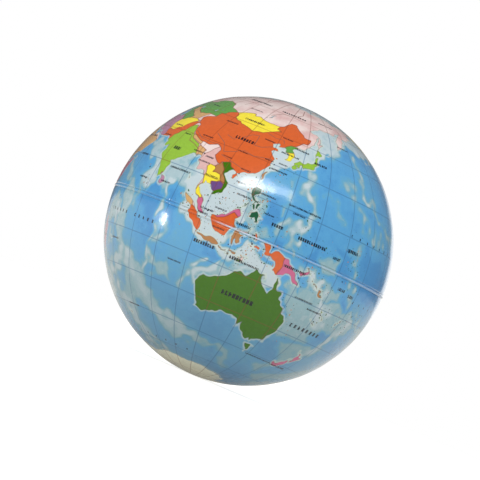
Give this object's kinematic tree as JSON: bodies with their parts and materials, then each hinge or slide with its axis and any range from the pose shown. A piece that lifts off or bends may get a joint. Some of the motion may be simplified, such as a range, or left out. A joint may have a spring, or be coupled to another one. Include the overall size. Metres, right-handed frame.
{
  "type": "stress ball",
  "caption": "Glossy foam ball printed as a world globe, with a fine raised seam round its equator, made to be squeezed in the hand.",
  "frame": {"origin": "centre of the ball", "axes": "+Z from the centre to the printed map's north pole, square to the seam; -Y to the point of the equator at about 126 degrees east on the printed map, between Borneo and New Guinea; +X to the east of that point"},
  "size_m": [0.0704, 0.0704, 0.07],
  "materials": {
    "printed_film_north": "world map printed on film under a clear glossy lacquer",
    "printed_film_south": "world map printed on film under a clear glossy lacquer",
    "seam_bead": "print and lacquer run over a raised bead",
    "foam": "matte open-cell polyurethane foam"
  },
  "bodies": {
    "core": {"foam_core": "foam", "equator_seam": "seam_bead"},
    "north_half": {"north_skin": "printed_film_north"},
    "south_half": {"south_skin": "printed_film_south"}
  },
  "joints": [
    {"name": "squeeze", "type": "slide", "parent": "core", "child": "north_half", "axis": [0, 0, -1], "range_m": [0, 0.012], "stiffness_N_per_m": 3000, "deforming": ["north_skin", "foam_core"]},
    {"name": "squeeze_south", "type": "slide", "parent": "core", "child": "south_half", "axis": [0, 0, 1], "range_m": [0, 0.012], "stiffness_N_per_m": 3000, "deforming": ["south_skin"]}
  ],
  "couplings": [
    {"joint": "squeeze_south", "follows": "squeeze", "ratio": 1}
  ]
}
